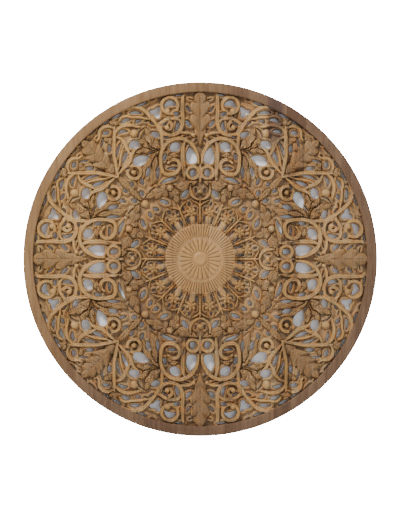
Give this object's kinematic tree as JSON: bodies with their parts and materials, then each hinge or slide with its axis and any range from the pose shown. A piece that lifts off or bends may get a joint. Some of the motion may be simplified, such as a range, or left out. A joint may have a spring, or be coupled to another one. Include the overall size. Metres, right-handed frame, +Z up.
{
  "type": "carved round wall panel",
  "caption": "Round pierced wood panel carved with acanthus leaves and scrolling stems round a fluted dome, inside a plain turned rim.",
  "frame": {"origin": "middle of the flat back of the panel, where it lies on the wall", "axes": "+Y points out of the back into the wall, the carved face looks along -Y, and +Z is up"},
  "size_m": [0.9, 0.027, 0.9],
  "materials": {
    "carved_teak": "waxed teak, medium orange brown, darker in the cuts"
  },
  "bodies": {
    "root": {"carved_panel": "carved_teak"}
  },
  "joints": []
}
